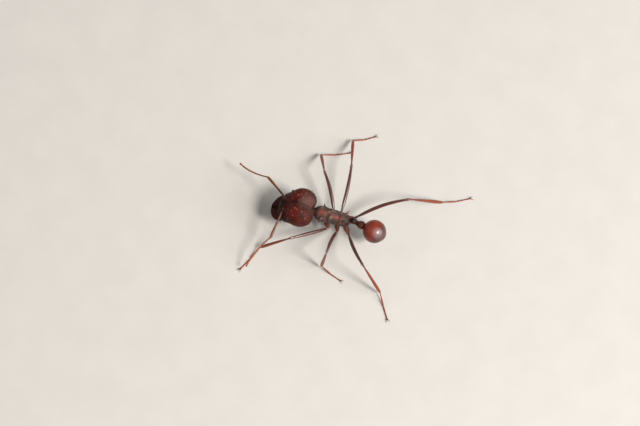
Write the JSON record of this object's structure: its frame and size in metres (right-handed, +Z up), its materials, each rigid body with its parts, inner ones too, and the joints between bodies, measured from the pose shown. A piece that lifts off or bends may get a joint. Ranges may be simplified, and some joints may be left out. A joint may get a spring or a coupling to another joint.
{
  "type": "leafcutter ant",
  "caption": "Life-size still model of a leafcutter ant soldier in a walking stance, with a heart-shaped head, spined thorax, long thin legs and a round gaster.",
  "frame": {"origin": "on the floor under the middle of the whole outline, feet on z = 0", "axes": "+Z up; the ant faces -X; +Y is its right side"},
  "size_m": [0.0286, 0.0242, 0.0061],
  "materials": {
    "head_cuticle": "satin dark red-brown cuticle with sparse hair",
    "mandible_cuticle": "glossy black-brown cuticle",
    "eye": "glossy black, finely faceted",
    "thorax_cuticle": "dull grey-brown cuticle under pale fine hair",
    "waist_cuticle": "dull near-black brown cuticle",
    "gaster_cuticle": "smooth glossy rust-red cuticle",
    "leg_cuticle": "satin red-brown cuticle",
    "foot_cuticle": "satin rust-red cuticle with fine hair",
    "feeler_cuticle": "satin red-brown cuticle with fine hair"
  },
  "bodies": {
    "root": {"head": "head_cuticle", "mandible_right": "mandible_cuticle", "eye_right": "eye", "mandible_left": "mandible_cuticle", "eye_left": "eye", "mouthparts": "mandible_cuticle", "scape_right": "feeler_cuticle", "flagellum_right": "feeler_cuticle", "scape_left": "feeler_cuticle", "flagellum_left": "feeler_cuticle", "pronotum": "thorax_cuticle", "mesonotum": "thorax_cuticle", "propodeum": "thorax_cuticle", "petiole": "waist_cuticle", "postpetiole": "waist_cuticle", "gaster": "gaster_cuticle", "gaster_tip": "gaster_cuticle", "front_right_coxa": "thorax_cuticle", "front_right_femur": "leg_cuticle", "front_right_tibia": "foot_cuticle", "front_right_tarsus": "foot_cuticle", "front_left_coxa": "thorax_cuticle", "front_left_femur": "leg_cuticle", "front_left_tibia": "foot_cuticle", "front_left_tarsus": "foot_cuticle", "middle_right_coxa": "thorax_cuticle", "middle_right_femur": "leg_cuticle", "middle_right_tibia": "foot_cuticle", "middle_right_tarsus": "foot_cuticle", "middle_left_coxa": "thorax_cuticle", "middle_left_femur": "leg_cuticle", "middle_left_tibia": "foot_cuticle", "middle_left_tarsus": "foot_cuticle", "hind_right_coxa": "thorax_cuticle", "hind_right_femur": "leg_cuticle", "hind_right_tibia": "foot_cuticle", "hind_right_tarsus": "foot_cuticle", "hind_left_coxa": "thorax_cuticle", "hind_left_femur": "leg_cuticle", "hind_left_tibia": "foot_cuticle", "hind_left_tarsus": "foot_cuticle"}
  },
  "joints": []
}
